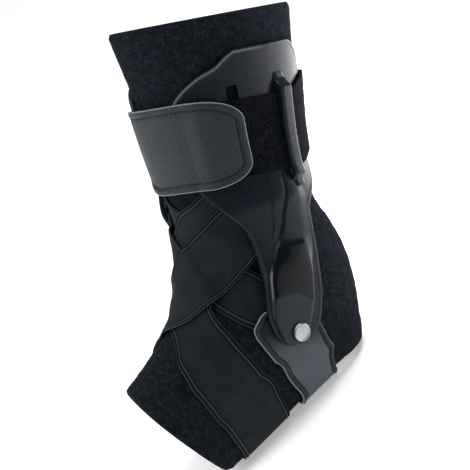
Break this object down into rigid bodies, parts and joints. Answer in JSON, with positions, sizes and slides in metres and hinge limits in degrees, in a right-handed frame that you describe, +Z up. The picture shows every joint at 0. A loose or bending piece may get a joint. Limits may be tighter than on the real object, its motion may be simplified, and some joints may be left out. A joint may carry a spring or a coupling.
{
  "type": "ankle brace",
  "caption": "Padded slip-on ankle brace with side uprights riveted to an under-heel stirrup, crossing elastic bands and a calf strap closed by a leather tab.",
  "frame": {"origin": "on the floor under the middle of the brace's box, as it stands on its sole", "axes": "+Z up, toes towards -Y, lateral side with the visible upright towards +X"},
  "size_m": [0.102, 0.2242, 0.2348],
  "materials": {
    "knit": "napped padded knit",
    "elastic": "ribbed woven elastic",
    "leather": "smooth coated leather with stitched hems",
    "loop": "brushed loop band",
    "plastic": "semi-gloss moulded plastic",
    "nickel": "turned nickel plate"
  },
  "bodies": {
    "root": {"sleeve": "knit", "heel_band_lateral": "elastic", "heel_band_medial": "elastic", "foot_band_lateral": "elastic", "foot_band_medial": "elastic", "stirrup": "leather", "upright_lateral": "plastic", "upright_medial": "plastic", "rivet_lateral": "nickel", "rivet_medial": "nickel", "calf_strap": "loop", "strap_tab": "leather"}
  },
  "joints": []
}
